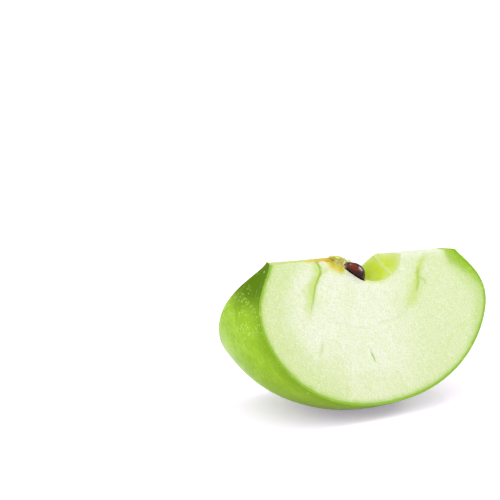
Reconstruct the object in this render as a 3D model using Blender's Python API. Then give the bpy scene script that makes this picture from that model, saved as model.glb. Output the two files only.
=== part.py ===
# A cut wedge of a green apple, lying on its skin, with one brown seed in its open seed chamber.
# The wedge is worked out round the apple's core first: X runs along the core towards the stem end,
# the front cut faces -Y and the skin is at the bottom. The last step turns it to the way it lies.

import math

import bmesh
import bpy
import numpy as np
from mathutils import Matrix, Vector

MM = 0.001

# The apple that the wedge was cut from. Its outline is a circle of this radius with a few waves
# added, as fractions of it, and a hollow at each end. Angles run from the stem end.
APPLE_RADIUS = 40 * MM
STEM_SIDE_SWELL = 0.096
END_FLATTENING = -0.0154
SHOULDER_SWELL = 0.0295
CORNER_ROUNDING = -0.0209
STEM_HOLLOW_DEPTH = 18.6 * MM
STEM_HOLLOW_SPREAD = 0.213
BASE_HOLLOW_DEPTH = 8.3 * MM
BASE_HOLLOW_SPREAD = 0.287

# The knife cuts. The front and back cuts meet at this angle, the front one runs slightly askew
# in front of the core, and a narrow top cut joins them.
WEDGE_ANGLE = math.radians(54.4)
FRONT_OFFSET = 3.0 * MM
FRONT_SLANT = 0.053
RIM_DROP = 1.72 * MM
RIM_SLOPE = 0.0243
TOP_CUT_WIDTH = 2.0 * MM

# The seed chamber, open to the front and the top and, beside the seed, to the back. It is deepest
# behind the seed and gets shallower towards the stem end. Places on the front cut are given as
# distance along the core and height over it, and the seed's also has a depth behind the cut.
CHAMBER_LENGTH = 17.8 * MM
CHAMBER_HEIGHT = 12.4 * MM
CHAMBER_CENTRE = (6.0 * MM, -2.3 * MM)
CHAMBER_TAPER = 0.62
CHAMBER_FRONT = 1.5 * MM
CHAMBER_DEPTH = 1.6 * MM
CHAMBER_SEED_DEPTH = 5.4 * MM
CHAMBER_DEEPEST = -0.23
CHAMBER_DEEP_SPREAD = 0.31

# The seed lies on the chamber's wall with its flatter side down and its narrow end at the core.
SEED_LENGTH = 7.6 * MM
SEED_THICKNESS = 3.8 * MM
SEED_CROWN = 3.5 * MM
SEED_SOLE = 0.35 * MM
SEED_CENTRE = (-0.9 * MM, 1.0 * MM, -5.8 * MM)
SEED_TILT = math.radians(36)
SEED_BLUNTNESS = 0.3
SEED_FULLNESS = 0.45
SEED_GAP = 0.3 * MM

# Shallow channels in the front cut, where veins of the core were sliced: their routes, as distance
# along the core and height over it, half their width and their depth.
LEFT_VEIN = [(-11.9, -0.8), (-11.0, -4.0), (-13.2, -7.5), (-15.3, -11.9), (-16.9, -16.4)]
RIGHT_VEIN = [(22.4, -2.9), (19.5, -7.0), (17.2, -12.0), (15.0, -16.4)]
SLIT = [(-0.7, -25.8), (-0.2, -27.4), (0.0, -28.8)]
LEFT_VEIN_SIZE = (0.5 * MM, 0.6 * MM)
RIGHT_VEIN_SIZE = (1.4 * MM, 0.35 * MM)
SLIT_SIZE = (0.3 * MM, 0.4 * MM)
CHANNEL_TAPER = 0.4

# How the wedge lies: its front cut leans back, its stem end dips, and a small flat spot of the
# skin touches the ground.
LEAN_BACK = math.radians(22.4)
STEM_DIP = math.radians(2.7)
REST_SPOT_DEPTH = 0.3 * MM

OUTLINE_POINTS = 64
ROUND_STEPS = 132
POD_POINTS = 21
POD_STEPS = 28
CHANNEL_POINTS = 14
CHANNEL_STEPS = 10
SHARP_EDGE = math.radians(30)


def skin_point(angle):
    # Distance along the core and out from it, on the outline at this angle from the stem end.
    waves = (
        1
        + STEM_SIDE_SWELL * math.cos(angle)
        + END_FLATTENING * math.cos(2 * angle)
        + SHOULDER_SWELL * math.cos(3 * angle)
        + CORNER_ROUNDING * math.cos(4 * angle)
    )
    stem = STEM_HOLLOW_DEPTH * math.exp(-((angle / STEM_HOLLOW_SPREAD) ** 2))
    base = BASE_HOLLOW_DEPTH * math.exp(-(((math.pi - angle) / BASE_HOLLOW_SPREAD) ** 2))
    reach = APPLE_RADIUS * waves - stem - base
    return reach * math.cos(angle), reach * math.sin(angle)


def even_outline(count):
    # The outline from the stem end to the base end, with its points evenly spaced along it.
    fine = np.array([skin_point(a) for a in np.linspace(0, math.pi, 40 * count)])
    steps = np.hypot(*np.diff(fine, axis=0).T)
    along = np.concatenate([[0], np.cumsum(steps)])
    wanted = np.linspace(0, along[-1], count)
    return np.interp(wanted, along, fine[:, 0]), np.interp(wanted, along, fine[:, 1])


def seed_girth(along):
    # The seed's girth from its narrow end, at -1, to its blunt end, at 1.
    swell = (1 + SEED_BLUNTNESS * along) / (1 + SEED_BLUNTNESS**2 / 2)
    return (1 - along * along) ** SEED_FULLNESS * swell


def finished(name, bm):
    mesh = bpy.data.meshes.new(name)
    bmesh.ops.recalc_face_normals(bm, faces=bm.faces)
    bm.to_mesh(mesh)
    bm.free()
    obj = bpy.data.objects.new(name, mesh)
    bpy.context.scene.collection.objects.link(obj)
    return obj


def ringed(name, centres, rings):
    # A closed body from rings of points. Its ends are the first and last of the centres.
    bm = bmesh.new()
    first = bm.verts.new(centres[0])
    last = bm.verts.new(centres[-1])
    rings = [[bm.verts.new(point) for point in ring] for ring in rings]
    count = len(rings[0])
    for i in range(count):
        j = (i + 1) % count
        bm.faces.new((first, rings[0][i], rings[0][j]))
        bm.faces.new((last, rings[-1][j], rings[-1][i]))
        for ring, following in zip(rings, rings[1:]):
            bm.faces.new((ring[i], following[i], following[j], ring[j]))
    return finished(name, bm)


def circle(steps):
    return [(math.sin(2 * math.pi * i / steps), math.cos(2 * math.pi * i / steps)) for i in range(steps)]


def whole_apple(name):
    places, radii = even_outline(OUTLINE_POINTS)
    centres = [Vector((place, 0, 0)) for place in places]
    rings = [
        [Vector((place, radius * across, radius * up)) for across, up in circle(ROUND_STEPS)]
        for place, radius in zip(places[1:-1], radii[1:-1])
    ]
    return ringed(name, centres, rings)


def knife(bm, point, outward):
    # Cuts off what lies on the outward side of a plane, and closes the cut with a flat face.
    geometry = bm.verts[:] + bm.edges[:] + bm.faces[:]
    cut = bmesh.ops.bisect_plane(
        bm, geom=geometry, dist=1e-7, plane_co=point, plane_no=outward, clear_outer=True
    )["geom_cut"]
    edges = [item for item in cut if isinstance(item, bmesh.types.BMEdge)]
    bmesh.ops.holes_fill(bm, edges=edges, sides=0)


def front_place(along, behind, over):
    # A place given by its distance behind the front cut.
    return Vector((along, behind - FRONT_OFFSET - FRONT_SLANT * along, over))


def front_rim(along):
    return front_place(along, 0, -RIM_DROP - RIM_SLOPE * along)


def across_top():
    # The direction of the top cut from front to back, square to the middle of the wedge.
    return Vector((0, math.cos(WEDGE_ANGLE / 2), math.sin(WEDGE_ANGLE / 2)))


def resting_turn():
    return Matrix.Rotation(STEM_DIP, 4, "Y") @ Matrix.Rotation(-LEAN_BACK, 4, "X")


def cut_wedge(name):
    wedge = whole_apple(name)
    rim_line = front_rim(1) - front_rim(0)
    down_back = Vector((0, math.sin(WEDGE_ANGLE), -math.cos(WEDGE_ANGLE)))
    back_rim = front_rim(0) + across_top() * TOP_CUT_WIDTH
    bm = bmesh.new()
    bm.from_mesh(wedge.data)
    knife(bm, front_rim(0), rim_line.cross(Vector((0, 0, 1))))
    knife(bm, back_rim, rim_line.cross(down_back))
    knife(bm, back_rim, rim_line.cross(across_top()))
    turn = resting_turn()
    lowest = min((turn @ v.co).z for v in bm.verts)
    ground = turn.inverted() @ Vector((0, 0, lowest + REST_SPOT_DEPTH))
    knife(bm, ground, turn.inverted().to_3x3() @ Vector((0, 0, -1)))
    bmesh.ops.recalc_face_normals(bm, faces=bm.faces)
    bm.to_mesh(wedge.data)
    bm.free()
    return wedge


def chamber_cutter():
    # A flattened pod in the front cut, tapered to both ends.
    place, over = CHAMBER_CENTRE
    alongs = [-math.cos(math.pi * i / (POD_POINTS - 1)) for i in range(POD_POINTS)]
    centres = [front_place(place + CHAMBER_LENGTH / 2 * along, 0, over) for along in alongs]
    rings = []
    for along, middle in zip(alongs[1:-1], centres[1:-1]):
        girth = (1 - along * along) ** CHAMBER_TAPER
        nearness = math.exp(-(((along - CHAMBER_DEEPEST) / CHAMBER_DEEP_SPREAD) ** 2))
        deep = CHAMBER_DEPTH + CHAMBER_SEED_DEPTH * nearness
        half = CHAMBER_HEIGHT / 2
        rings.append(
            [
                middle + girth * Vector((0, (deep if a > 0 else CHAMBER_FRONT) * a, half * u))
                for a, u in circle(POD_STEPS)
            ]
        )
    return ringed("chamber_cutter", centres, rings)


def seed_shape(name, margin):
    # The seed, grown by a margin on every side. Its sole is flatter than its crown.
    turn = Matrix.Rotation(SEED_TILT, 3, "Y")
    middle = front_place(*SEED_CENTRE)
    half = SEED_LENGTH / 2 + margin
    alongs = [-math.cos(math.pi * i / (POD_POINTS - 1)) for i in range(POD_POINTS)]
    centres = [middle + turn @ Vector((half * along, 0, 0)) for along in alongs]
    rings = []
    for along, centre in zip(alongs[1:-1], centres[1:-1]):
        girth = seed_girth(along)
        rim = math.sqrt(1 - along * along)
        wide = SEED_THICKNESS / 2 * girth + margin * rim
        crown = SEED_CROWN * girth + margin * rim
        sole = SEED_SOLE * girth + margin * rim
        rings.append(
            [
                centre + turn @ Vector((0, wide * a, (crown if u > 0 else sole) * u))
                for a, u in circle(POD_STEPS)
            ]
        )
    return ringed(name, centres, rings)


def channel_cutter(name, route, size):
    # A tapered channel of oval section along a smooth route in the front cut.
    half_width, depth = size
    places = [front_place(along * MM, 0, over * MM) for along, over in route]
    centres = smooth_route(places, CHANNEL_POINTS)
    inward = (front_place(0, 1, 0) - front_place(0, 0, 0)).normalized()
    rings = []
    for i in range(1, CHANNEL_POINTS - 1):
        onward = (centres[i + 1] - centres[i - 1]).normalized()
        sideways = onward.cross(inward).normalized()
        girth = math.sin(math.pi * i / (CHANNEL_POINTS - 1)) ** CHANNEL_TAPER
        rings.append(
            [
                centres[i] + sideways * (half_width * girth * a) + inward * (depth * girth * u)
                for a, u in circle(CHANNEL_STEPS)
            ]
        )
    return ringed(name, centres, rings)


def smooth_route(places, count):
    # Points on a smooth curve through the places, which are far enough apart to be its knots.
    knots = np.arange(len(places))
    wanted = np.linspace(0, len(places) - 1, count)
    columns = []
    for axis in range(3):
        values = np.array([place[axis] for place in places])
        slopes = np.gradient(values)
        low = np.minimum(wanted.astype(int), len(places) - 2)
        t = wanted - knots[low]
        columns.append(
            values[low] * (1 + 2 * t) * (1 - t) ** 2
            + slopes[low] * t * (1 - t) ** 2
            + values[low + 1] * t * t * (3 - 2 * t)
            + slopes[low + 1] * t * t * (t - 1)
        )
    return [Vector(point) for point in zip(*columns)]


def carve(body, cutter):
    cut = body.modifiers.new(cutter.name, "BOOLEAN")
    cut.operation = "DIFFERENCE"
    cut.object = cutter
    cutter.hide_render = True
    cutter.display_type = "WIRE"


def material(name, colour, roughness):
    made = bpy.data.materials.new(name)
    made.use_nodes = True
    shader = made.node_tree.nodes["Principled BSDF"]
    shader.inputs["Base Color"].default_value = (*colour, 1)
    shader.inputs["Roughness"].default_value = roughness
    shader.inputs["Metallic"].default_value = 0
    return made


def shade(obj):
    obj.data.shade_smooth()
    obj.data.set_sharp_from_angle(angle=SHARP_EDGE)


def main():
    for old in list(bpy.data.objects):
        bpy.data.objects.remove(old)
    wedge = cut_wedge("apple_wedge")
    wedge.data.materials.append(material("apple flesh and peel", (0.62, 0.75, 0.35), 0.45))
    seed = seed_shape("seed", 0)
    seed.data.materials.append(material("seed coat", (0.10, 0.02, 0.01), 0.25))
    cutters = [
        chamber_cutter(),
        seed_shape("seat_cutter", SEED_GAP),
        channel_cutter("left_vein_cutter", LEFT_VEIN, LEFT_VEIN_SIZE),
        channel_cutter("right_vein_cutter", RIGHT_VEIN, RIGHT_VEIN_SIZE),
        channel_cutter("slit_cutter", SLIT, SLIT_SIZE),
    ]
    for cutter in cutters:
        carve(wedge, cutter)
    shade(wedge)
    shade(seed)
    # The origin goes to the middle of the ground under the wedge.
    turn = resting_turn()
    corners = np.array([turn @ v.co for v in wedge.data.vertices])
    low, high = corners.min(axis=0), corners.max(axis=0)
    shift = Matrix.Translation((-(low[0] + high[0]) / 2, -(low[1] + high[1]) / 2, -low[2]))
    for obj in [wedge, seed, *cutters]:
        obj.matrix_world = shift @ turn
    print("core centre in the frame, mm:", [round(x / MM, 3) for x in shift.translation])


main()
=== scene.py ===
import math

import bmesh
import bpy
import numpy as np
from mathutils import Matrix, Vector


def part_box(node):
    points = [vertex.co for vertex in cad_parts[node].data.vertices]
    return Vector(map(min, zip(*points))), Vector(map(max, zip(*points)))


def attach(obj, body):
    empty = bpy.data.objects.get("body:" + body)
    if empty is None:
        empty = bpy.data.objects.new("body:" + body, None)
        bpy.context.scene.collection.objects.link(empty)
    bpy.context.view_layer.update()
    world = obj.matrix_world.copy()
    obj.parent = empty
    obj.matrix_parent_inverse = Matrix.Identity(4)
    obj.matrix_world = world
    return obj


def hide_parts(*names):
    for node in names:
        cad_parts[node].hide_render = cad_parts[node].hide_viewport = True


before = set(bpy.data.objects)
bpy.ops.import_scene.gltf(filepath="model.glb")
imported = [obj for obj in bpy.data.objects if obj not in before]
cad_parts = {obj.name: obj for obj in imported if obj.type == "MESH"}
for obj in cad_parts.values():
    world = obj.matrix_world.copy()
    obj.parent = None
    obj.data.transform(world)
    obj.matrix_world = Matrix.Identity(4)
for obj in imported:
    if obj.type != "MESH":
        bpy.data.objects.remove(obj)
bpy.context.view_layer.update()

mm = 0.001
scene = bpy.context.scene

# Everything about the fruit is worked out in millimetres round the middle of the apple's core:
# X runs along the core to the stem end, the front cut faces -Y and the skin is at the bottom.
apple = {
    "radius": 40.0,
    "waves": (0.096, -0.0154, 0.0295, -0.0209),
    "stemHollow": (18.6, 0.213),
    "baseHollow": (8.3, 0.287),
}

cuts = {
    "wedgeAngle": math.radians(54.4),
    "frontOffset": 3.0,
    "frontSlant": 0.053,
    "rimDrop": 1.72,
    "rimSlope": 0.0243,
    "topWidth": 2.0,
    "leanBack": math.radians(22.4),
    "stemDip": math.radians(2.7),
    "restSpot": 0.3,
}


def skinReach(angle):
    # distance from the middle to the skin, at this angle from the stem end
    waves = 1 + sum(size * np.cos((i + 1) * angle) for i, size in enumerate(apple["waves"]))
    stem = apple["stemHollow"][0] * np.exp(-((angle / apple["stemHollow"][1]) ** 2))
    base = apple["baseHollow"][0] * np.exp(-(((math.pi - angle) / apple["baseHollow"][1]) ** 2))
    return apple["radius"] * waves - stem - base


def frontPlace(along, behind, over):
    return Vector((along, behind - cuts["frontOffset"] - cuts["frontSlant"] * along, over))


def frontRim(along):
    return frontPlace(along, 0, -cuts["rimDrop"] - cuts["rimSlope"] * along)


def acrossTop():
    half = cuts["wedgeAngle"] / 2
    return Vector((0, math.cos(half), math.sin(half)))


def cutPlanes():
    # a point on each cut and the direction that points out of the fruit there
    line = frontRim(1) - frontRim(0)
    downBack = Vector((0, math.sin(cuts["wedgeAngle"]), -math.cos(cuts["wedgeAngle"])))
    backRim = frontRim(0) + acrossTop() * cuts["topWidth"]
    return {
        "front": (frontRim(0), line.cross(Vector((0, 0, 1))).normalized()),
        "back": (backRim, line.cross(downBack).normalized()),
        "top": (backRim, line.cross(acrossTop()).normalized()),
    }


def restingTurn():
    return Matrix.Rotation(cuts["stemDip"], 4, "Y") @ Matrix.Rotation(-cuts["leanBack"], 4, "X")


def newObject(name, mesh):
    made = bpy.data.objects.new(name, mesh)
    scene.collection.objects.link(made)
    return made


def ringed(name, centres, rings):
    # a closed body from rings of points, its ends the first and last of the centres
    bm = bmesh.new()
    first, last = bm.verts.new(centres[0]), bm.verts.new(centres[-1])
    rings = [[bm.verts.new(point) for point in ring] for ring in rings]
    count = len(rings[0])
    for i in range(count):
        j = (i + 1) % count
        bm.faces.new((first, rings[0][i], rings[0][j]))
        bm.faces.new((last, rings[-1][j], rings[-1][i]))
        for ring, following in zip(rings, rings[1:]):
            bm.faces.new((ring[i], following[i], following[j], ring[j]))
    bmesh.ops.recalc_face_normals(bm, faces=bm.faces)
    mesh = bpy.data.meshes.new(name)
    bm.to_mesh(mesh)
    bm.free()
    return newObject(name, mesh)


def circle(steps):
    return [(math.sin(2 * math.pi * i / steps), math.cos(2 * math.pi * i / steps)) for i in range(steps)]


def podStations(count):
    return [-math.cos(math.pi * i / (count - 1)) for i in range(count)]


def softNoise(places, size, seed):
    # smooth values from -1 to 1 that change over about this many millimetres
    table = np.random.default_rng(seed).uniform(-1, 1, 4096)
    cell = np.asarray(places) / size + 100 * seed
    low = np.floor(cell).astype(np.int64)
    part = cell - low
    part = part * part * (3 - 2 * part)
    total = np.zeros(len(cell))
    for corner in range(8):
        step = np.array([(corner >> axis) & 1 for axis in range(3)])
        key = (low + step) * np.array([73856093, 19349663, 83492791])
        value = table[(key[:, 0] ^ key[:, 1] ^ key[:, 2]) & 4095]
        total += value * np.prod(np.where(step, part, 1 - part), axis=1)
    return total


def bellOf(values):
    return np.exp(-(values**2))


def riseOf(values, low, high):
    part = np.clip((values - low) / (high - low), 0, 1)
    return part * part * (3 - 2 * part)


# The seed chamber, open to the front and the top and, beside the seed, to the back.
chamber = {
    "length": 17.8,
    "height": 12.4,
    "centre": (6.0, -2.3),
    "taper": 0.62,
    "front": 1.5,
    "depth": 1.6,
    "seedDepth": 5.4,
    "deepest": -0.23,
    "deepSpread": 0.31,
    "stations": 61,
    "steps": 64,
    "membrane": ((6.3, -1.4), (10.3, -6.6)),
    "membraneHeight": 0.45,
}

seed = {
    "length": 7.6,
    "thickness": 3.8,
    "crown": 3.5,
    "sole": 0.35,
    "centre": (-0.9, 1.0, -5.8),
    "tilt": math.radians(36),
    "bluntness": 0.3,
    "fullness": 0.45,
    "gap": 0.3,
}


def chamberCutter():
    place, over = chamber["centre"]
    front, half = chamber["front"], chamber["height"] / 2
    stations = podStations(chamber["stations"])
    centres = [frontPlace(place + chamber["length"] / 2 * along, 0, over) for along in stations]
    rings = []
    for along, middle in zip(stations[1:-1], centres[1:-1]):
        girth = (1 - along * along) ** chamber["taper"]
        nearness = math.exp(-(((along - chamber["deepest"]) / chamber["deepSpread"]) ** 2))
        deep = chamber["depth"] + chamber["seedDepth"] * nearness
        rings.append([
            middle + girth * Vector((0, (deep if a > 0 else front) * a, half * u))
            for a, u in circle(chamber["steps"])
        ])
    return ringed("chamberCutter", centres, rings)


def seedGirth(along):
    swell = (1 + seed["bluntness"] * along) / (1 + seed["bluntness"] ** 2 / 2)
    return (1 - along * along) ** seed["fullness"] * swell


def seedShape(name, margin, count, steps):
    turn = Matrix.Rotation(seed["tilt"], 3, "Y")
    middle = frontPlace(*seed["centre"])
    half = seed["length"] / 2 + margin
    stations = podStations(count)
    centres = [middle + turn @ Vector((half * along, 0, 0)) for along in stations]
    rings = []
    for along, centre in zip(stations[1:-1], centres[1:-1]):
        girth, rim = seedGirth(along), math.sqrt(1 - along * along)
        wide = seed["thickness"] / 2 * girth + margin * rim
        crown = seed["crown"] * girth + margin * rim
        sole = seed["sole"] * girth + margin * rim
        rings.append([
            centre + turn @ Vector((0, wide * a, (crown if u > 0 else sole) * u)) for a, u in circle(steps)
        ])
    return ringed(name, centres, rings)


wedge = {
    "outlinePoints": 150,
    "roundSteps": 180,
    "meshDepth": 8,
    "meshScale": 0.8,
    "onSurface": 0.03,
}


def knife(bm, point, outward):
    # cuts off the outward side of a plane and closes the cut
    geometry = bm.verts[:] + bm.edges[:] + bm.faces[:]
    cut = bmesh.ops.bisect_plane(
        bm, geom=geometry, dist=1e-5, plane_co=point, plane_no=outward, clear_outer=True
    )["geom_cut"]
    edges = [item for item in cut if isinstance(item, bmesh.types.BMEdge)]
    bmesh.ops.holes_fill(bm, edges=edges, sides=0)


def plainWedge():
    # the wedge's plain form, with fine even faces and crisp rims
    angles = np.linspace(0, math.pi, wedge["outlinePoints"])
    reach = skinReach(angles)
    places, radii = reach * np.cos(angles), reach * np.sin(angles)
    centres = [Vector((place, 0, 0)) for place in places]
    rings = [
        [Vector((place, radius * a, radius * u)) for a, u in circle(wedge["roundSteps"])]
        for place, radius in zip(places[1:-1], radii[1:-1])
    ]
    body = ringed("appleWedge", centres, rings)
    bm = bmesh.new()
    bm.from_mesh(body.data)
    planes = cutPlanes()
    for side in ("front", "back", "top"):
        knife(bm, *planes[side])
    turn = restingTurn()
    lowest = min((turn @ v.co).z for v in bm.verts)
    ground = turn.inverted() @ Vector((0, 0, lowest + cuts["restSpot"]))
    planes["rest"] = (ground, turn.inverted().to_3x3() @ Vector((0, 0, -1)))
    knife(bm, *planes["rest"])
    bmesh.ops.recalc_face_normals(bm, faces=bm.faces)
    bm.to_mesh(body.data)
    bm.free()
    cutters = [chamberCutter(), seedShape("seatCutter", seed["gap"], 41, 56)]
    for cutter in cutters:
        carve = body.modifiers.new(cutter.name, "BOOLEAN")
        carve.operation = "DIFFERENCE"
        carve.object = cutter
    even = body.modifiers.new("even faces", "REMESH")
    even.mode = "SHARP"
    even.octree_depth = wedge["meshDepth"]
    even.scale = wedge["meshScale"]
    even.sharpness = 1.0
    solid = bpy.data.meshes.new_from_object(body.evaluated_get(bpy.context.evaluated_depsgraph_get()))
    body.modifiers.clear()
    body.data = solid
    for cutter in cutters:
        bpy.data.objects.remove(cutter)
    return body, planes


def meshPlaces(mesh):
    places = np.empty(len(mesh.vertices) * 3)
    mesh.vertices.foreach_get("co", places)
    return places.reshape(-1, 3)


def smoothRoute(points, count):
    # a smooth curve through points, as distance along the core and height over it
    points = np.array(points)
    wanted = np.linspace(0, len(points) - 1, count)
    low = np.minimum(wanted.astype(int), len(points) - 2)
    t = (wanted - low)[:, None]
    slope = np.gradient(points, axis=0)
    return (
        points[low] * (1 + 2 * t) * (1 - t) ** 2
        + slope[low] * t * (1 - t) ** 2
        + points[low + 1] * t * t * (3 - 2 * t)
        + slope[low + 1] * t * t * (t - 1)
    )


# Marks where the knife met veins and flaws: route, half width, depth, and depth left at the end.
marks = {
    "front": [
        ([(-11.9, -0.8), (-11.1, -2.9), (-11.0, -4.4), (-13.2, -7.5), (-15.3, -11.9), (-16.9, -16.4)],
         0.4, 0.32, 0.05),
        ([(22.4, -2.9), (19.5, -7.0), (18.5, -9.5), (17.2, -12.0), (15.0, -16.4)], 1.3, 0.3, 0.16),
        ([(19.9, -5.9), (19.0, -8.3), (18.7, -10.1), (17.9, -11.9)], 0.4, 0.14, 0.06),
        ([(19.3, -8.6), (20.9, -9.8)], 0.4, 0.1, 0.05),
        ([(-0.7, -25.8), (-0.2, -27.4), (0.0, -28.8)], 0.24, 0.36, 0.2),
        ([(-14.6, -20.6), (-15.2, -23.0), (-16.3, -26.0)], 0.4, 0.14, 0.05),
        ([(6.5, -24.0), (7.4, -26.4), (7.2, -28.6)], 0.5, 0.08, 0.04),
    ],
    "back": [
        ([(-10.0, -1.0), (-9.4, -6.0), (-13.0, -11.0), (-15.4, -18.0)], 0.36, 0.42, 0.08),
        ([(20.0, -2.0), (17.4, -8.0), (14.0, -15.0)], 1.1, 0.22, 0.1),
        ([(3.0, -24.0), (2.4, -27.4)], 0.26, 0.3, 0.2),
    ],
}


def marksDepth(side, along, over):
    depth = np.zeros(len(along))
    for route, width, deep, left in marks[side]:
        curve = smoothRoute(route, 40)
        for i, (a, o) in enumerate(curve):
            share = i / (len(curve) - 1)
            level = (deep + (left - deep) * share) * min(1, 6 * (1 - share) + 0.15)
            depth = np.maximum(depth, level * bellOf(np.hypot(along - a, over - o) / width))
    return depth


relief = {
    "peelLip": 0.07,
    "grain": 0.022,
    "swell": 0.05,
    "knifeMarks": 0.016,
    "coreRuin": 0.5,
    "flapDrop": 1.0,
    "flapStart": (-3.5, -1.7),
    "flapEnd": (1.0, 2.5),
    "flapDepth": 2.2,
    "skinLumps": 0.12,
    "skinPits": 0.012,
}


def cutRelief(side, places, underSkin, rimDistance):
    along, over = places[:, 0], places[:, 2]
    depth = relief["grain"] * (softNoise(places, 0.55, 3) + softNoise(places, 1.1, 4))
    depth += relief["swell"] * softNoise(places, 5.0, 5)
    stroke = along * 0.93 + over * 0.36 + 0.5 * softNoise(places, 8.0, 6)
    depth += relief["knifeMarks"] * np.sin(stroke * 2 * math.pi / 2.3)
    depth += relief["peelLip"] * riseOf(underSkin, 0.15, 0.7)
    if side in marks:
        depth += marksDepth(side, along, over)
    # the knife tears the stringy core, left of the seed
    torn = bellOf((along + 7.5) / 5.0) * bellOf(rimDistance / 1.5)
    ragged = 0.5 + 0.5 * softNoise(places * np.array([1, 1, 0.35]), 0.7, 7) + 0.4 * softNoise(places, 1.6, 8)
    return depth * riseOf(underSkin, 0, 0.3) + relief["coreRuin"] * torn * ragged


def flapDrop(along):
    # how far the torn flap behind the seed has sunk
    level = riseOf(along, *relief["flapStart"]) * (1 - riseOf(along, *relief["flapEnd"]))
    return relief["flapDrop"] * level


def skinGapOf(places):
    reach = np.linalg.norm(places, axis=1)
    angle = np.arctan2(np.hypot(places[:, 1], places[:, 2]), places[:, 0])
    slope = (skinReach(angle + 1e-3) - skinReach(angle - 1e-3)) / 2e-3
    skin = skinReach(angle)
    return (skin - reach) / np.sqrt(1 + (slope / skin) ** 2), skin / reach


def dressedWedge():
    body, planes = plainWedge()
    mesh = body.data
    places = meshPlaces(mesh)
    near = wedge["onSurface"]
    gaps = {
        side: (places - np.array(point)) @ np.array(out) for side, (point, out) in planes.items()
    }
    underSkin, stretch = skinGapOf(places)
    on = {side: np.abs(gap) < near for side, gap in gaps.items()}
    onSkin = (underSkin < 0.08) & ~on["rest"]
    anyCut = on["front"] | on["back"] | on["top"] | on["rest"]
    inside = ~anyCut & ~onSkin
    moved = places.copy()
    moved[onSkin & ~anyCut] *= stretch[onSkin & ~anyCut][:, None]
    rim = np.array([frontRim(0)]) + np.array(frontRim(1) - frontRim(0)) * places[:, :1]
    rimDistance = np.linalg.norm(places - rim, axis=1)
    for side in ("back", "top", "front"):
        chosen = on[side] & ~on["rest"]
        depth = cutRelief(side, places[chosen], underSkin[chosen], rimDistance[chosen])
        moved[chosen] -= depth[:, None] * np.array(planes[side][1])
    outward = places / np.linalg.norm(places, axis=1)[:, None]
    lumps = relief["skinLumps"] * softNoise(places, 13.0, 11)
    lumps = lumps + relief["skinPits"] * softNoise(places, 0.9, 12)
    loose = onSkin & ~anyCut
    calm = riseOf(-gaps["rest"], 0.0, 3.0)
    moved[loose] += (lumps * calm)[loose][:, None] * outward[loose]
    # the pale membrane that parts the chamber in two
    start, end = (Vector((a, frontPlace(a, 0, 0).y, o)) for a, o in chamber["membrane"])
    sightline = Vector((0.69, 1.0, 0.18))
    across = np.array((end - start).cross(sightline).normalized())
    middle = np.array(frontPlace(chamber["centre"][0], 1.2, chamber["centre"][1]))
    offLine = (places - np.array(start)) @ across
    ridge = chamber["membraneHeight"] * bellOf(offLine / 0.3) + 0.05 * softNoise(places, 1.2, 13)
    inward = (middle - places) / np.linalg.norm(middle - places, axis=1)[:, None]
    moved[inside] += ridge[inside][:, None] * inward[inside]
    sunk = flapDrop(places[:, 0]) * riseOf(gaps["top"], -relief["flapDepth"], 0.0)
    moved -= sunk[:, None] * np.array(planes["top"][1])
    attribute = mesh.attributes.new("corePlace", "FLOAT_VECTOR", "POINT")
    attribute.data.foreach_set("vector", places.ravel())
    kinds = np.zeros(len(mesh.polygons), dtype=np.int32)
    for i, face in enumerate(mesh.polygons):
        if not (onSkin | on["rest"])[list(face.vertices)].all():
            kinds[i] = 1
    mesh.polygons.foreach_set("material_index", kinds)
    return body, moved


def setInFrame(places):
    # from round the core, in millimetres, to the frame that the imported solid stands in
    turn = np.array(restingTurn())[:3, :3]
    return places @ turn.T * mm


body, moved = dressedWedge()
turned = setInFrame(meshPlaces(body.data))
low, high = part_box("apple_wedge")
coreCentre = np.array([
    (low.x + high.x) / 2 - (turned[:, 0].min() + turned[:, 0].max()) / 2,
    (low.y + high.y) / 2 - (turned[:, 1].min() + turned[:, 1].max()) / 2,
    low.z - turned[:, 2].min(),
])


def seat(piece, places):
    # puts a piece's points in the frame, with none under the ground
    rows = setInFrame(places) + coreCentre
    rows[:, 2] = np.maximum(rows[:, 2], 0)
    piece.data.vertices.foreach_set("co", rows.ravel())
    piece.data.update()


seat(body, moved)
print("wedge", len(body.data.vertices), "points, core at", coreCentre.round(5))


class Value:
    # a shader value that can be used in sums
    def __init__(self, bench, socket):
        self.bench, self.socket = bench, socket

    def maths(self, operation, *others):
        return self.bench.maths(operation, self, *others)

    def __add__(self, other):
        return self.maths("ADD", other)

    def __radd__(self, other):
        return self.bench.maths("ADD", other, self)

    def __sub__(self, other):
        return self.maths("SUBTRACT", other)

    def __rsub__(self, other):
        return self.bench.maths("SUBTRACT", other, self)

    def __mul__(self, other):
        return self.maths("MULTIPLY", other)

    def __rmul__(self, other):
        return self.bench.maths("MULTIPLY", other, self)

    def __truediv__(self, other):
        return self.maths("DIVIDE", other)

    def __neg__(self):
        return self.maths("MULTIPLY", -1)

    def __pow__(self, other):
        return self.maths("POWER", other)


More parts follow.
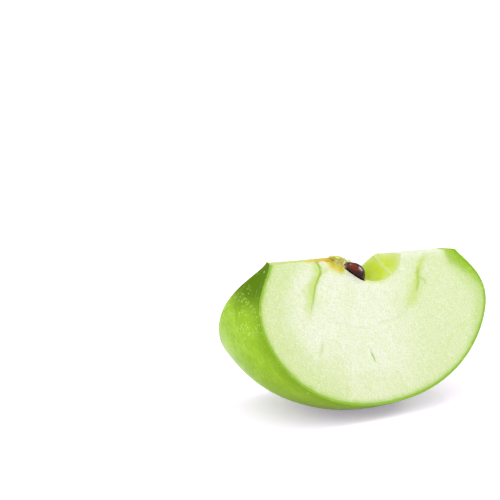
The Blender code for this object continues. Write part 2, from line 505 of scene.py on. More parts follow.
class Bench:
    # one material being made
    def __init__(self, name):
        self.material = bpy.data.materials.new(name)
        self.material.use_nodes = True
        self.tree = self.material.node_tree
        self.shader = self.tree.nodes["Principled BSDF"]

    def node(self, kind, settings, values, output=0):
        made = self.tree.nodes.new(kind)
        for key, value in settings.items():
            if key == "stops":
                ramp = made.color_ramp
                while len(ramp.elements) < len(value):
                    ramp.elements.new(1)
                for element, (place, colour) in zip(ramp.elements, value):
                    element.position, element.color = place, colour
            elif key == "interpolation":
                made.color_ramp.interpolation = value
            else:
                setattr(made, key, value)
        for key, value in values.items():
            self.feed(made.inputs[key], value)
        return Value(self, made.outputs[output])

    def feed(self, socket, value):
        if isinstance(value, Value):
            self.tree.links.new(value.socket, socket)
        else:
            socket.default_value = value

    def maths(self, operation, *values):
        return self.node("ShaderNodeMath", {"operation": operation}, dict(enumerate(values)))

    def rise(self, value, low, high):
        settings = {"interpolation_type": "SMOOTHSTEP"}
        return self.node("ShaderNodeMapRange", settings, {"Value": value, "From Min": low, "From Max": high})

    def bell(self, value):
        return self.maths("EXPONENT", -(value * value))

    def mix(self, factor, first, second):
        return self.node("ShaderNodeMix", {"data_type": "RGBA"}, {0: factor, 6: first, 7: second}, 2)

    def place(self):
        return self.node("ShaderNodeAttribute", {"attribute_name": "corePlace"}, {}, 1)

    def parts(self, vector):
        made = self.tree.nodes.new("ShaderNodeSeparateXYZ")
        self.feed(made.inputs[0], vector)
        return [Value(self, output) for output in made.outputs]

    def vector(self, *values):
        return self.node("ShaderNodeCombineXYZ", {}, dict(enumerate(values)))

    def stretched(self, vector, factors):
        return self.node("ShaderNodeVectorMath", {"operation": "MULTIPLY"}, {0: vector, 1: factors})

    def noise(self, vector, size, detail=2.0, rough=0.5):
        values = {"Vector": vector, "Scale": 1 / size, "Detail": detail, "Roughness": rough}
        return self.node("ShaderNodeTexNoise", {}, values)

    def cells(self, vector, size, output="Distance"):
        return self.node("ShaderNodeTexVoronoi", {}, {"Vector": vector, "Scale": 1 / size}, output)

    def curve(self, value, stops):
        # a smooth curve through these stops of value and height, both from 0 to 1
        greys = [(place, (height, height, height, 1)) for place, height in stops]
        return self.node("ShaderNodeValToRGB", {"stops": greys, "interpolation": "CARDINAL"}, {0: value})

    def bump(self, height, distance, strength):
        values = {"Height": height, "Distance": distance, "Strength": strength}
        return self.node("ShaderNodeBump", {}, values)

    def finish(self, values):
        for key, value in values.items():
            self.feed(self.shader.inputs[key], value)
        return self.material


studioBrightness = 1.2


def paint(red, green, blue):
    # the finish that looks like this colour on a screen, under the studio's lights
    def light(part):
        part /= 255
        return (part / 12.92 if part <= 0.04045 else ((part + 0.055) / 1.055) ** 2.4) / studioBrightness

    return (light(red), light(green), light(blue), 1)


def skinAngle(bench, place):
    x, y, z = bench.parts(place)
    aside = (y * y + z * z) ** 0.5
    return bench.maths("ARCTAN2", aside, x), bench.maths("ARCTAN2", y, -z)


def depthUnderSkin(bench, place, angle):
    reach = bench.node("ShaderNodeVectorMath", {"operation": "LENGTH"}, {0: place}, "Value")
    radius, tilt = apple["radius"], 0.0
    for i, size in enumerate(apple["waves"]):
        turned = angle * (i + 1)
        radius = radius + bench.maths("COSINE", turned) * (size * apple["radius"])
        tilt = tilt - bench.maths("SINE", turned) * (size * apple["radius"] * (i + 1))
    for (deep, spread), away, way in (
        (apple["stemHollow"], angle, 1),
        (apple["baseHollow"], math.pi - angle, -1),
    ):
        hollow = bench.bell(away / spread) * deep
        radius = radius - hollow
        tilt = tilt + hollow * away * (way * 2 / spread**2)
    tilt = tilt / radius
    return (radius - reach) / (tilt * tilt + 1) ** 0.5


peelLook = {
    "bright": paint(160, 204, 44),
    "deep": paint(142, 188, 20),
    "shade": paint(118, 160, 8),
    "bellyGreenAndShade": paint(122, 158, 0),
    "basinGreenAndShade": paint(88, 124, 0),
    "pale": paint(186, 220, 90),
    "dots": paint(204, 232, 124),
    "roughness": 0.36,
    "specular": 0.06,
    "coat": 0.34,
    "coatRoughness": 0.12,
}


def peel():
    bench = Bench("green peel")
    place = bench.place()
    angle, around = skinAngle(bench, place)
    streaks = bench.noise(bench.vector(angle * 3.0, around * 30.0, 0.0), 1.0, 3.0)
    clouds = bench.noise(place, 8.0, 3.0, 0.6)
    fine = bench.noise(place, 1.1, 3.0, 0.65)
    colour = bench.mix(bench.rise(clouds, 0.36, 0.66), peelLook["bright"], peelLook["deep"])
    colour = bench.mix(bench.rise(streaks, 0.48, 0.74) * 0.2, colour, peelLook["pale"])
    colour = bench.mix(bench.rise(0.5 - streaks, 0.0, 0.2) * 0.15, colour, peelLook["deep"])
    colour = bench.mix(bench.rise(fine, 0.48, 0.7) * 0.4, colour, peelLook["shade"])
    # painted shade: darker towards the knife's edge, and in the hollow at the base, where the peel is also a
    # deeper green
    front = -cuts["frontOffset"] - bench.parts(place)[0] * cuts["frontSlant"]
    nearCut = 1 - bench.rise(bench.parts(place)[1] - front, 0.4, 5.5)
    colour = bench.mix(nearCut * 0.7, colour, peelLook["shade"])
    # darker at the underside by the front cut: partly a deeper green, partly painted shade
    bellyGreenAndShade = (1 - bench.rise(angle, 1.9, 2.5)) * (1 - bench.rise(around, 0.1, 0.8))
    colour = bench.mix(bellyGreenAndShade * 0.7, colour, peelLook["bellyGreenAndShade"])
    basinGreenAndShade = bench.rise(angle + (clouds - 0.5) * 0.08, 2.7, 2.9)
    colour = bench.mix(basinGreenAndShade * (1.0 - bench.rise(streaks, 0.5, 0.72) * 0.3), colour, peelLook["basinGreenAndShade"])
    # pale breathing spots, thickest where the fruit turns in at the base
    chance = bench.parts(bench.cells(place, 2.6, "Color"))[0]
    spot = 1 - bench.rise(bench.cells(place, 2.6) * 2.6, 0.1, 0.16 + chance * 0.34)
    shoulder = between(bench, angle, 2.6, 2.88, 0.06)
    fleck = 1 - bench.rise(bench.cells(bench.stretched(place, (0.6, 1.0, 1.0)), 0.8) * 0.8, 0.05, 0.36)
    thick = bench.rise(bench.noise(place, 3.0, 2.0), 0.4, 0.62)
    colour = bench.mix(spot * bench.rise(chance, 0.25, 0.7) * 0.58, colour, peelLook["dots"])
    colour = bench.mix(fleck * (thick * 0.24 + shoulder * (0.16 + thick * 0.24)), colour, peelLook["dots"])
    height = spot * 0.5 + fine * 0.5
    return bench.finish({
        "Base Color": colour,
        "Roughness": peelLook["roughness"] + fine * 0.14,
        "Specular IOR Level": peelLook["specular"],
        "Coat Weight": bench.rise(around, 0.2, 1.2) * (1 - basinGreenAndShade) * peelLook["coat"],
        "Coat Roughness": peelLook["coatRoughness"],
        "Normal": bench.bump(height, 0.00008, 0.7),
    })


fleshLook = {
    "cream": paint(244, 250, 224),
    "cloud": paint(226, 241, 186),
    "outer": paint(214, 234, 158),
    "fleck": paint(214, 234, 160),
    "spark": paint(255, 255, 246),
    "green": paint(180, 216, 84),
    "tip": paint(156, 202, 20),
    "line": paint(134, 188, 16),
    "halo": paint(204, 228, 104),
    "vein": paint(164, 204, 48),
    "notch": paint(120, 116, 14),
    "orange": paint(246, 204, 34),
    "yellow": paint(228, 216, 70),
    "shred": paint(232, 240, 138),
    "facet": paint(206, 222, 132),
    "podEdge": paint(216, 234, 140),
    "rust": paint(206, 136, 10),
    "roughness": 0.45,
    "specular": 0.22,
    "glow": 0.22,
    "glowReach": (1.0, 1.0, 0.6),
    "glowDepth": 0.0009,
}

liningLook = {
    "green": paint(202, 226, 36),
    "pale": paint(220, 236, 112),
    "rim": paint(222, 236, 158),
    "roughness": 0.3,
}

# Where the veins run on the cuts: height over the core, place along it.
veinRoutes = {
    "left": [
        (-17.5, -17.3), (-15.9, -16.9), (-11.9, -15.3), (-9.4, -14.2), (-7.5, -13.2),
        (-5.8, -11.9), (-4.4, -11.0), (-2.9, -11.1), (-1.5, -11.7), (-0.5, -12.1),
    ],
    "right": [
        (-17.0, 14.6), (-14.5, 15.7), (-12.0, 17.2), (-9.5, 18.5), (-7.0, 19.5), (-4.7, 20.9), (-3.2, 22.2),
    ],
    "line": [(-13.0, 17.6), (-11.7, 17.9), (-10.1, 18.7), (-8.3, 19.0), (-5.9, 19.8)],
    "slit": [(-29.0, 0.0), (-27.4, -0.2), (-26.2, -0.6)],
    "streak": [(-26.0, -16.3), (-23.9, -15.5), (-22.0, -14.8)],
    "side": [(-10.8, 20.9), (-9.6, 20.6), (-8.6, 19.4)],
    "backLeft": [(-18.0, -15.4), (-11.0, -13.0), (-6.0, -9.4), (-1.0, -10.0)],
    "backRight": [(-15.0, 14.0), (-8.0, 17.4), (-2.0, 20.0)],
}

# Thin veins and flaws of the front cut: width, lowest and highest place, soft ends, strength.
thinVeins = [
    ("line", 0.45, -12.0, -6.4, 1.0, 0.6),
    ("side", 0.5, -10.8, -8.6, 0.5, 0.4),
    ("slit", 0.24, -28.6, -26.3, 0.4, 0.85),
    ("streak", 0.6, -25.5, -22.0, 1.0, 0.3),
]


def veinOffset(bench, along, over, name):
    # how far a point is from a vein, measured along the core
    route = veinRoutes[name]
    low, high = route[0][0], route[-1][0]
    left = min(place for _, place in route)
    span = max(place for _, place in route) - left
    stops = [((height - low) / (high - low), (place - left) / span) for height, place in route]
    return along - bench.curve((over - low) / (high - low), stops) * span - left


def depthUnderCuts(bench, place):
    # how far inside the three cuts a point of the seed chamber is
    depths = []
    for point, out in (cutPlanes()[side] for side in ("front", "back", "top")):
        over = bench.node("ShaderNodeVectorMath", {"operation": "DOT_PRODUCT"}, {0: place, 1: out}, "Value")
        depths.append(point.dot(out) - over)
    return bench.maths("MINIMUM", bench.maths("MINIMUM", depths[0], depths[1]), depths[2])


def between(bench, value, low, high, soft):
    # 1 between two values and 0 outside, with soft ends
    return bench.rise(value, low - soft, low + soft) * (1 - bench.rise(value, high - soft, high + soft))


def flesh():
    bench = Bench("apple flesh")
    place = bench.place()
    along, behind, over = bench.parts(place)
    angle = skinAngle(bench, place)[0]
    under = depthUnderSkin(bench, place, angle)
    wobble = bench.noise(place, 2.2, 3.0) - 0.5
    clouds = bench.noise(place, 8.0, 4.0, 0.6)
    puffs = bench.noise(place, 2.6, 3.0, 0.6)
    grain = bench.noise(place, 0.45, 2.0, 0.65)
    outer = 1 - bench.rise(under, 1.0, 15.0)
    cloudy = bench.rise(clouds + outer * 0.15, 0.4, 0.7)
    colour = bench.mix(cloudy * 0.6, fleshLook["cream"], fleshLook["cloud"])
    colour = bench.mix(bench.rise(along, 4.0, 20.0), colour, fleshLook["cloud"])
    lowLeft = 1 - bench.rise(under + along * 0.35, -4.0, 8.0)
    lowLeft = lowLeft * bench.rise(along, -6.0, -14.0)
    colour = bench.mix(lowLeft * 0.6 + outer * 0.35, colour, fleshLook["outer"])
    colour = bench.mix(bench.rise(puffs, 0.46, 0.7) * 0.35, colour, fleshLook["cloud"])
    colour = bench.mix(bench.rise(grain, 0.48, 0.66) * 0.58, colour, fleshLook["fleck"])
    # near-white specks over the grain: painted glints of the wet juice cells
    colour = bench.mix(bench.rise(0.5 - grain, 0.0, 0.16) * 0.42, colour, fleshLook["spark"])
    # greener towards the peel, most of all at the stem end
    tip = bench.rise(along - bench.rise(over, -9.0, -3.0) * 1.3, 25.3, 30.0) * bench.rise(over, -16.0, -6.0)
    shoulder = bench.rise(angle, 0.2, 0.35) * (1 - bench.rise(angle, 0.35, 0.8))
    fade = under + wobble * 1.2
    wide = 2.6 + shoulder * 4.0 + tip * 5.0
    green = (1 - bench.rise(fade / wide, 0.0, 1.0)) * (0.6 + tip * 0.3)
    colour = bench.mix(green, colour, fleshLook["green"])
    rich = 1.5 + tip * 4.4
    green = (1 - bench.rise(fade / rich, 0.1, 1.0)) * (0.5 + tip * 0.45)
    colour = bench.mix(green, colour, fleshLook["tip"])
    colour = bench.mix((1 - bench.rise(under, 0.3, 0.95)) * 0.85, colour, fleshLook["line"])
    blotch = bench.rise(bench.noise(place, 1.9, 2.0), 0.58, 0.72) * (1 - bench.rise(under, 3.0, 13.0))
    colour = bench.mix(blotch * 0.35, colour, fleshLook["halo"])
    # veins that the knife met on the front cut
    front = 1 - bench.rise(behind + along * cuts["frontSlant"] + cuts["frontOffset"], 0.9, 1.4)
    offset = veinOffset(bench, along, over, "left") + wobble * 0.16
    fades = bench.rise(over, -17.5, -6.0)
    halo = bench.bell((offset + 0.9) / 1.5) * bench.rise(over, -18.0, -9.0)
    halo = halo * (1 - bench.rise(over, -3.5, -0.5)) * 0.75
    colour = bench.mix(halo * front, colour, fleshLook["halo"])
    vein = bench.bell(offset / 0.4) * (0.25 + fades * 0.75) * bench.rise(over, -18.0, -12.0)
    colour = bench.mix(vein * front, colour, fleshLook["vein"])
    branch = bench.bell((over + 4.5 - (along + 11.0) * 0.23) / 0.7)
    branch = branch * between(bench, along, -10.8, -8.0, 0.7) * 0.45
    twig = bench.bell((over + 6.5 - (along + 13.6) * 0.58) / 0.8)
    twig = twig * between(bench, along, -18.0, -13.4, 0.9) * 0.3
    colour = bench.mix((branch + twig) * front, colour, fleshLook["halo"])
    notch = bench.bell((along + 11.8) / 0.9) * bench.bell((over + 1.1) / 0.75)
    colour = bench.mix(notch * front * 0.85, colour, fleshLook["notch"])
    offset = veinOffset(bench, along, over, "right") + wobble * 0.6
    deep = 1 - bench.rise(over, -13.0, -7.0)
    band = bench.bell((offset + deep * 0.3) / (1.1 + deep * 1.1)) * between(bench, over, -16.0, -3.0, 1.1)
    colour = bench.mix(band * (0.8 - deep * 0.14) * front, colour, fleshLook["halo"])
    for name, width, low, high, soft, amount in thinVeins:
        thin = bench.bell(veinOffset(bench, along, over, name) / width)
        thin = thin * between(bench, over, low, high, soft) * amount
        colour = bench.mix(thin * front, colour, fleshLook["vein"])
    for name, low, width in (("backLeft", -17.5, 0.5), ("backRight", -14.0, 1.3)):
        offset = veinOffset(bench, along, over, name) + wobble * 0.5
        backVein = bench.bell(offset / width) * bench.rise(over, low - 1.5, low + 6.0) * (1 - front)
        colour = bench.mix(backVein * 0.6, colour, fleshLook["halo" if width > 1 else "vein"])
    # the faint ring of veins round the core
    ring = bench.bell((under - 20.0 + wobble * 3.0) / 0.5) * between(bench, angle, 0.9, 2.2, 0.2) * 0.12
    colour = bench.mix(ring, colour, fleshLook["vein"])
    # the knife's narrow top cut, yellower, and the pale green edge of the seed chamber
    rimHeight = over + cuts["rimDrop"] + along * cuts["rimSlope"]
    facet = bench.rise(rimHeight, -0.3, 0.05) * between(bench, along, -33.0, -2.0, 1.0)
    colour = bench.mix(facet * 0.9, colour, fleshLook["facet"])
    place1, over1 = chamber["centre"]
    podSpread = bench.maths("ABSOLUTE", (along - place1) / (chamber["length"] / 2))
    podHeight = bench.maths("MAXIMUM", 1 - podSpread * podSpread, 0.0) ** chamber["taper"]
    podHeight = podHeight * (chamber["height"] / 2)
    pastPod = bench.maths("ABSOLUTE", over - over1) - podHeight + wobble * 0.6
    podEdge = (1 - bench.rise(pastPod, 0.1, 1.1)) * between(bench, along, 1.5, 14.0, 0.6) * front
    colour = bench.mix(podEdge * 0.6, colour, fleshLook["podEdge"])
    # stained, stringy core tissue along the top rim, left of the seed
    strings = bench.noise(bench.stretched(place, (0.7, 1.2, 1.2)), 0.8, 4.0, 0.7)
    ragged = along + (bench.noise(place, 1.3, 3.0) - 0.5) * 4.0
    top = bench.rise(rimHeight, -1.1, 0.1)
    tissue = top * between(bench, ragged, -15.5, -3.6, 1.6) * 0.8
    slide = bench.bell((over + 1.9 + (along + 8.0) * 0.8) / 1.9)
    slide = slide * between(bench, along, -8.6, -5.4, 1.9) * 0.9
    slide = slide + bench.bell((along + 4.4) / 1.0) * bench.bell((over + 4.4) / 1.1) * 1.1
    slide = slide + bench.bell((along + 6.0) / 3.2) * bench.bell((over + 3.0) / 2.2) * 0.35
    tissue = bench.maths("MAXIMUM", tissue, slide * front)
    colour = bench.mix(bench.rise(tissue * (0.3 + strings * 1.3), 0.05, 1.1), colour, fleshLook["yellow"])
    core = bench.rise(rimHeight, -1.6, -0.1) * between(bench, ragged, -9.3, -6.3, 0.9)
    thread = bench.rise(rimHeight, -0.3, 0.1) * between(bench, ragged, -13.2, -9.3, 1.0) * 0.75
    core = bench.maths("MAXIMUM", core, thread)
    # painted highlight: the flesh is whitened along the top rim at the stem end
    paintedRimHighlight = bench.rise(rimHeight + wobble, -2.2, 0.2) * between(bench, along, 14.0, 28.4, 1.6)
    colour = bench.mix(paintedRimHighlight * 0.7, colour, fleshLook["cream"])
    colour = bench.mix(bench.rise(core * (0.4 + strings), 0.4, 0.95) * 0.85, colour, fleshLook["orange"])
    colour = bench.mix(bench.rise(core * strings * 2.0, 0.95, 1.3) * 0.35, colour, fleshLook["rust"])
    # the smooth green lining of the seed chamber, pale where it was cut
    pocket = depthUnderCuts(bench, place)
    soft = bench.noise(place, 2.2, 2.0)
    streaks = bench.noise(bench.stretched(place, (0.5, 1.0, 2.4)), 0.9, 3.0)
    lining = bench.mix(bench.rise(soft, 0.4, 0.7) * 0.5, liningLook["green"], liningLook["pale"])
    lining = bench.mix(bench.rise(over, -5.5, -1.5) * 0.55, lining, liningLook["pale"])
    cornered = bench.rise(over + wobble * 1.5, -3.4, -1.2) * bench.rise(along, 6.0, 12.0)
    cornered = bench.maths("MAXIMUM", cornered * 0.9, bench.rise(along + wobble, 12.8, 14.2) * 0.6)
    lining = bench.mix(cornered, lining, liningLook["rim"])
    lining = bench.mix(bench.rise(streaks, 0.5, 0.75) * 0.3, lining, liningLook["pale"])
    start, end = chamber["membrane"]
    line = (along - start[0] - behind * 0.69 - 2.3) * 0.79 + (over - start[1]) * 0.61
    lining = bench.mix(bench.bell(line / 0.5) * 0.7, lining, liningLook["rim"])
    lining = bench.mix((1 - bench.rise(pocket + wobble, 0.0, 1.3)) * 0.75, lining, liningLook["rim"])
    inside = bench.rise(pocket + wobble * 0.12, 0.04, 0.34)
    colour = bench.mix(inside, colour, lining)
    # juice cells
    cell = bench.cells(place, 0.42)
    glint = bench.rise(bench.parts(bench.cells(place, 0.42, "Color"))[0], 0.6, 0.95)
    bumps = bench.bump((cell + grain * 1.2) * (1 - inside) + streaks * inside, 0.00016, 0.7)
    rough = fleshLook["roughness"] - glint * 0.2 + grain * 0.1
    return bench.finish({
        "Base Color": colour,
        "Roughness": rough * (1 - inside) + (streaks * 0.12 + liningLook["roughness"]) * inside,
        "Specular IOR Level": fleshLook["specular"],
        "Subsurface Weight": fleshLook["glow"],
        "Subsurface Radius": fleshLook["glowReach"],
        "Subsurface Scale": fleshLook["glowDepth"],
        "Normal": bumps,
    })


for finish in (peel(), flesh()):
    body.data.materials.append(finish)
body.data.shade_smooth()
body.data.set_sharp_from_angle(angle=math.radians(38))
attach(body, "root")
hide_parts("apple_wedge")
print("wedge materials")

seedLook = {
    "brown": paint(58, 18, 12),
    "red": paint(128, 38, 12),
    "dark": paint(28, 6, 12),
    "gold": paint(196, 150, 60),
    "roughness": 0.16,
    "specular": 0.08,
    "coat": 0.32,
    "coatRoughness": 0.17,
}


def seedCoat():
    bench = Bench("seed coat")
    place = bench.place()
    along, behind, over = bench.parts(place)
    turned, lean = math.cos(seed["tilt"]), math.sin(seed["tilt"])
    lengthways = (along - seed["centre"][0]) * turned - (over - seed["centre"][2]) * lean
    crownways = (along - seed["centre"][0]) * lean + (over - seed["centre"][2]) * turned
    grain = bench.noise(bench.vector(lengthways * 0.35, behind * 1.6, crownways * 1.6), 0.5, 4.0, 0.65)
    warm = bench.bell((lengthways + 0.9) / 1.9) * bench.bell((crownways - 1.2) / 1.3)
    colour = bench.mix(bench.rise(warm + grain * 0.5, 0.45, 1.15), seedLook["brown"], seedLook["red"])
    colour = bench.mix(bench.rise(grain, 0.5, 0.66) * 0.7, colour, seedLook["dark"])
    colour = bench.mix(bench.rise(lengthways, 1.2, 3.4) * 0.6, colour, seedLook["dark"])
    # painted shade: dark along the seed's outlines, over its crown and at its sole
    edge = bench.rise(crownways, 2.3, 3.2) + 1 - bench.rise(crownways, -0.2, 0.7)
    colour = bench.mix(edge * 0.55, colour, seedLook["dark"])
    # ragged gold scraps at the narrow end
    scraps = bench.rise(bench.noise(place, 0.6, 3.0, 0.6), 0.47, 0.58)
    scraps = scraps * (1 - bench.rise(lengthways, -3.3, -2.3))
    colour = bench.mix(scraps * 0.8, colour, seedLook["gold"])
    return bench.finish({
        "Base Color": colour,
        "Roughness": seedLook["roughness"] + grain * 0.14,
        "Specular IOR Level": seedLook["specular"],
        "Coat Weight": seedLook["coat"],
        "Coat Roughness": seedLook["coatRoughness"],
        "Normal": bench.bump(grain, 0.0001, 0.5),
    })


def dressedSeed():
    made = seedShape("appleSeed", 0, 90, 120)
    places = meshPlaces(made.data)
    attribute = made.data.attributes.new("corePlace", "FLOAT_VECTOR", "POINT")
    attribute.data.foreach_set("vector", places.ravel())
    middle = np.array(frontPlace(*seed["centre"]))
    outward = (places - middle) / np.linalg.norm(places - middle, axis=1)[:, None]
    lumps = 0.05 * softNoise(places, 1.9, 21) + 0.03 * softNoise(places, 0.7, 22) - 0.03
    seat(made, places + lumps[:, None] * outward)
    made.data.shade_smooth()
    made.data.materials.append(seedCoat())
    return made


seedPiece = dressedSeed()
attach(seedPiece, "root")
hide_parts("seed")
print("seed")

# Torn fibres of core: how many, their ends as ranges of place along the core, place across the
# top facet and height over it, then their length, thickness and shade from orange to pale.
fibres = {
    "seed": 31,
    "rings": 9,
    "sides": 6,
    "flatness": 0.22,
    "groups": {
        "stained": {
            "count": 24, "along": (-13.0, -7.5), "across": (0.0, 1.0), "length": (1.0, 2.6),
            "lift": (0.0, 0.08), "thick": (0.02, 0.05), "shade": (0.1, 0.6),
        },
        "frayed": {
            "count": 130, "along": (-7.0, -2.8), "across": (-0.5, 1.0), "length": (0.8, 2.2),
            "lift": (0.05, 0.5), "thick": (0.05, 0.24), "shade": (0.25, 0.9),
        },
        "tip": {
            "count": 14, "along": (-4.9, -3.9), "across": (-1.35, -0.5), "length": (0.6, 1.2),
            "lift": (0.2, 0.5), "thick": (0.05, 0.1), "shade": (0.0, 0.8),
        },
    },
}


def topPlace(along, across, height):
    # a place on the top facet, or on the front cut where across is under 0
    planes = cutPlanes()
    height -= float(flapDrop(along))
    if across >= 0:
        return frontRim(along) + acrossTop() * (across * cuts["topWidth"]) + planes["top"][1] * height
    drop = -across * cuts["topWidth"]
    return frontRim(along) - Vector((0, 0, drop)) + planes["front"][1] * height


def tube(bm, layers, points, radii, spin, shade):
    # a flattened fibre, pointed at both ends
    count = fibres["sides"]
    rings = []
    for i in range(1, len(points) - 1):
        onward = (points[i + 1] - points[i - 1]).normalized()
        side = onward.cross(spin).normalized()
        up = side.cross(onward) * fibres["flatness"]
        rings.append([bm.verts.new(points[i] + radii[i] * (side * a + up * u)) for a, u in circle(count)])
    first, last = bm.verts.new(points[0]), bm.verts.new(points[-1])
    for i in range(count):
        j = (i + 1) % count
        bm.faces.new((first, rings[0][i], rings[0][j]))
        bm.faces.new((last, rings[-1][j], rings[-1][i]))
        for ring, following in zip(rings, rings[1:]):
            bm.faces.new((ring[i], following[i], following[j], ring[j]))
    for vert in [first, last] + [vert for ring in rings for vert in ring]:
        vert[layers[0]] = vert.co
        vert[layers[1]] = shade


def coreFibres():
    draw = np.random.default_rng(fibres["seed"])
    bm = bmesh.new()
    layers = (bm.verts.layers.float_vector.new("corePlace"), bm.verts.layers.float.new("shade"))
    for name, group in fibres["groups"].items():
        for i in range(group["count"]):
            along, across = draw.uniform(*group["along"]), draw.uniform(*group["across"])
            length, lift = draw.uniform(*group["length"]), draw.uniform(*group["lift"])
            thick, shade = draw.uniform(*group["thick"]), draw.uniform(*group["shade"])
            if name == "tip":
                # on the front cut, reaching over the seed's narrow end
                step = (length * draw.uniform(0.5, 1.0), -length * draw.uniform(-0.2, 0.35))
            elif name == "stained":
                step = (length, draw.uniform(-0.18, 0.18))
            else:
                step = (length * draw.uniform(0.5, 1.0), draw.uniform(-0.35, 0.25))
                lift *= 1.3 - float(riseOf(np.array(along + step[0] / 2), -5.0, -2.4))
            wander = draw.uniform(-0.07, 0.07, 3).tolist()
            points, radii = [], []
            for k in range(fibres["rings"]):
                t = k / (fibres["rings"] - 1)
                curl = wander[0] * math.sin(5 * t) + wander[1] * math.sin(9 * t + 1)
                rise = lift * math.sin(math.pi * min(1, t * 1.15)) + wander[2] * 0.5 * math.sin(8 * t) - 0.08
                if name == "frayed":
                    rise = lift * t**0.7 * (1.25 - t * 0.6) + wander[2] * math.sin(7 * t) - 0.05
                points.append(topPlace(along + step[0] * t, across + step[1] * t + curl, rise))
                notch = 1 + wander[0] * 5 * math.sin(17 * t + wander[1] * 60)
                radii.append(thick * notch * math.sin(math.pi * (0.12 + 0.8 * t)) ** 0.7)
            spin = cutPlanes()["top"][1] + Vector(draw.normal(size=3)) * (0.9 if name == "tip" else 0.35)
            tube(bm, layers, points, radii, spin.normalized(), shade)
    bmesh.ops.recalc_face_normals(bm, faces=bm.faces)
    mesh = bpy.data.meshes.new("coreFibres")
    bm.to_mesh(mesh)
    bm.free()
    made = newObject("coreFibres", mesh)
    seat(made, meshPlaces(mesh))
    mesh.shade_smooth()
    mesh.materials.append(fibreFinish())
    return made


def fibreFinish():
    bench = Bench("torn core fibres")
    place = bench.place()
    shade = bench.node("ShaderNodeAttribute", {"attribute_name": "shade"}, {}, 2)
    mottle = bench.noise(place, 0.5, 2.0)
    level = shade + (mottle - 0.5) * 0.5
    colour = bench.mix(bench.rise(level, 0.0, 0.3), fleshLook["orange"], fleshLook["yellow"])
    colour = bench.mix(bench.rise(level, 0.4, 0.7), colour, fleshLook["shred"])
    colour = bench.mix(bench.rise(level, 0.75, 1.0), colour, fleshLook["cream"])
    return bench.finish({
        "Base Color": colour,
        "Roughness": 0.4 + mottle * 0.15,
        "Specular IOR Level": 0.35,
        "Normal": bench.bump(mottle, 0.00005, 0.5),
    })


fibrePiece = coreFibres()
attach(fibrePiece, "root")
print("core fibres")

# The way it is photographed: the camera's place is given round the middle of the core.
picture = {
    "heading": math.radians(36.9),
    "elevation": math.radians(12),
    "distance": 560.0,
    "focal": 2198.9,
    "corePixel": (345.4, 253.2),
    "middle": 250.0,
    "width": 500.0,
    "sensor": 36.0,
}


def placeCamera():
    heading, rise = picture["heading"], picture["elevation"]
    right = Vector((math.cos(heading), -math.sin(heading), 0))
    forward = Vector((math.sin(heading), math.cos(heading), -math.tan(rise))) * math.cos(rise)
    up = right.cross(forward)
    aside = (picture["corePixel"][0] - picture["middle"]) / picture["focal"] * picture["distance"]
    below = (picture["corePixel"][1] - picture["middle"]) / picture["focal"] * picture["distance"]
    data = bpy.data.cameras.new("camera")
    data.sensor_width = picture["sensor"]
    data.lens = picture["focal"] / picture["width"] * picture["sensor"]
    camera = newObject("camera", data)
    place = Vector(coreCentre) - (forward * picture["distance"] + right * aside - up * below) * mm
    turn = Matrix((right, up, -forward)).transposed().to_4x4()
    camera.matrix_world = Matrix.Translation(place) @ turn
    data.clip_start = 0.01
    scene.camera = camera
    return right, forward


cameraRight, cameraForward = placeCamera()

floorLook = {
    "size": 6.0,
    "colour": (0.96, 0.96, 0.96, 1),
    "glow": (0.36, 0.36, 0.36, 1),
    "nearColour": (0.96, 0.9, 1.0, 1),
    "nearGlow": (0.275, 0.218, 0.36, 1),
    "near": (0.09, 0.3),
    "roughness": 0.6,
}


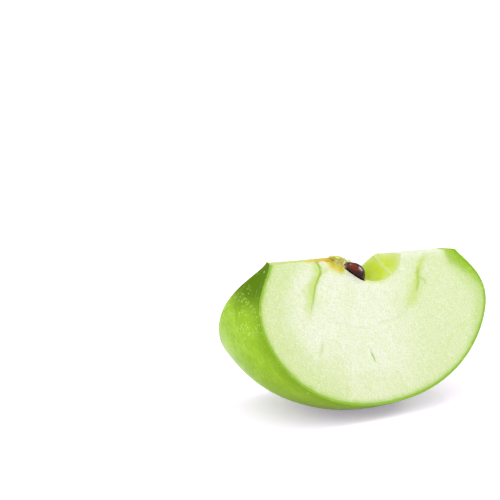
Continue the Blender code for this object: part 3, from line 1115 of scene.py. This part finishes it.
def makeFloor():
    bm = bmesh.new()
    bmesh.ops.create_grid(bm, x_segments=8, y_segments=8, size=floorLook["size"] / 2)
    mesh = bpy.data.meshes.new("floor")
    bm.to_mesh(mesh)
    bm.free()
    floor = newObject("floor", mesh)
    bench = Bench("pale floor")
    # painted light: the floor glows faintly, which lightens the fruit's shadow, and round the fruit it is
    # cooler, against the green that the fruit throws there
    spot = bench.node("ShaderNodeTexCoord", {}, {}, "Object")
    distance = bench.node("ShaderNodeVectorMath", {"operation": "LENGTH"}, {0: spot}, "Value")
    away = bench.rise(distance, *floorLook["near"])
    mesh.materials.append(bench.finish({
        "Base Color": bench.mix(away, floorLook["nearColour"], floorLook["colour"]),
        "Roughness": floorLook["roughness"],
        "Specular IOR Level": 0.2,
        "Emission Color": bench.mix(away, floorLook["nearGlow"], floorLook["glow"]),
        "Emission Strength": 1.0,
    }))


makeFloor()


# Round lights, placed in metres to the camera's right, up, and away from the camera.
lightsAim = 0.02
lights = {
    "topLight": {"aside": -0.1, "above": 1.2, "towards": -0.4, "size": 2.4, "power": 11.5},
    "leftLight": {"aside": -1.2, "above": 0.45, "towards": -0.3, "size": 1.1, "power": 4.5},
    "glintLight": {"aside": 0.95, "above": 0.56, "towards": 0.48, "size": 0.3, "power": 4.0},
    "sparkLight": {"aside": 0.52, "above": 0.98, "towards": 0.38, "size": 0.09, "power": 0.7},
}


def softbox(name, aside, above, towards, size, power):
    data = bpy.data.lights.new(name, "AREA")
    data.shape = "DISK"
    data.size = size
    data.energy = power
    light = newObject(name, data)
    level = Vector((cameraForward.x, cameraForward.y, 0)).normalized()
    place = cameraRight * aside + level * towards + Vector((0, 0, above))
    light.location = place
    light.rotation_euler = (Vector((0, 0, lightsAim)) - place).to_track_quat("-Z", "Y").to_euler()


for name, light in lights.items():
    softbox(name, **light)


surround = {"horizon": 0.74, "zenith": 0.66}


def studioSurround():
    # white all round, a little brighter towards the horizon
    world = bpy.data.worlds.new("studio")
    scene.world = world
    world.use_nodes = True
    tree = world.node_tree
    direction = tree.nodes.new("ShaderNodeTexCoord")
    height = tree.nodes.new("ShaderNodeSeparateXYZ")
    strength = tree.nodes.new("ShaderNodeMapRange")
    strength.inputs["To Min"].default_value = surround["horizon"]
    strength.inputs["To Max"].default_value = surround["zenith"]
    tree.links.new(direction.outputs["Generated"], height.inputs[0])
    tree.links.new(height.outputs[2], strength.inputs["Value"])
    tree.links.new(strength.outputs[0], tree.nodes["Background"].inputs["Strength"])
    tree.nodes["Background"].inputs["Color"].default_value = (1, 1, 1, 1)


studioSurround()
scene.view_settings.view_transform = "Standard"
print("camera, floor and lights")
